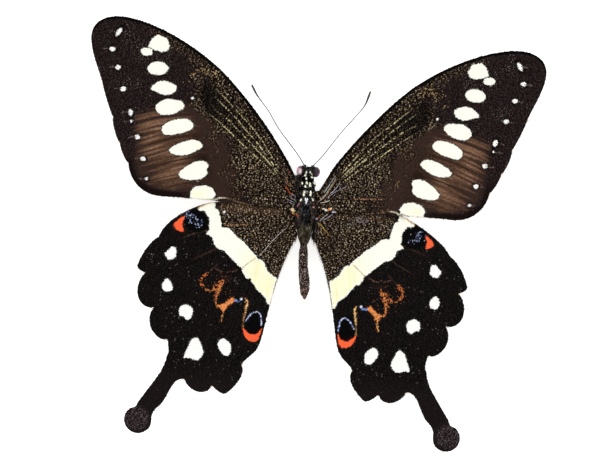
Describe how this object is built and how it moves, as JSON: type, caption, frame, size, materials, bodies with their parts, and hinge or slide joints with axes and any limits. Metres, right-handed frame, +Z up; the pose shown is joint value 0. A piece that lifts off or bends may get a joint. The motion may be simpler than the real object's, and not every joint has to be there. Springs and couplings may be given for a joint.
{
  "type": "swallowtail butterfly",
  "caption": "Life-size swallowtail butterfly with its wings spread flat: black with a cream band, cream spots and round-ended tails, standing on thin bent legs.",
  "frame": {"origin": "middle of the box round the butterfly, at the level its feet stand on", "axes": "+X towards the butterfly's right wing, +Y the way it faces, +Z up"},
  "size_m": [0.1048, 0.0952, 0.0147],
  "materials": {
    "wing": "fine overlapping scales, black with cream spots and gold specks",
    "body": "short dark hair",
    "eye": "faceted, softly glossy",
    "horn": "satin black horn"
  },
  "bodies": {
    "root": {"head": "body", "collar": "body", "thorax": "body", "abdomen": "body", "palp_left": "body", "palp_right": "body", "eye_left": "eye", "eye_right": "eye", "proboscis": "horn", "antenna_left": "horn", "antenna_right": "horn", "leg_front_left": "horn", "leg_front_right": "horn", "leg_middle_left": "horn", "leg_middle_right": "horn", "leg_hind_left": "horn", "leg_hind_right": "horn", "forewing_left": "wing", "forewing_right": "wing", "hindwing_left": "wing", "hindwing_right": "wing", "tail_left": "wing", "tail_right": "wing"}
  },
  "joints": []
}
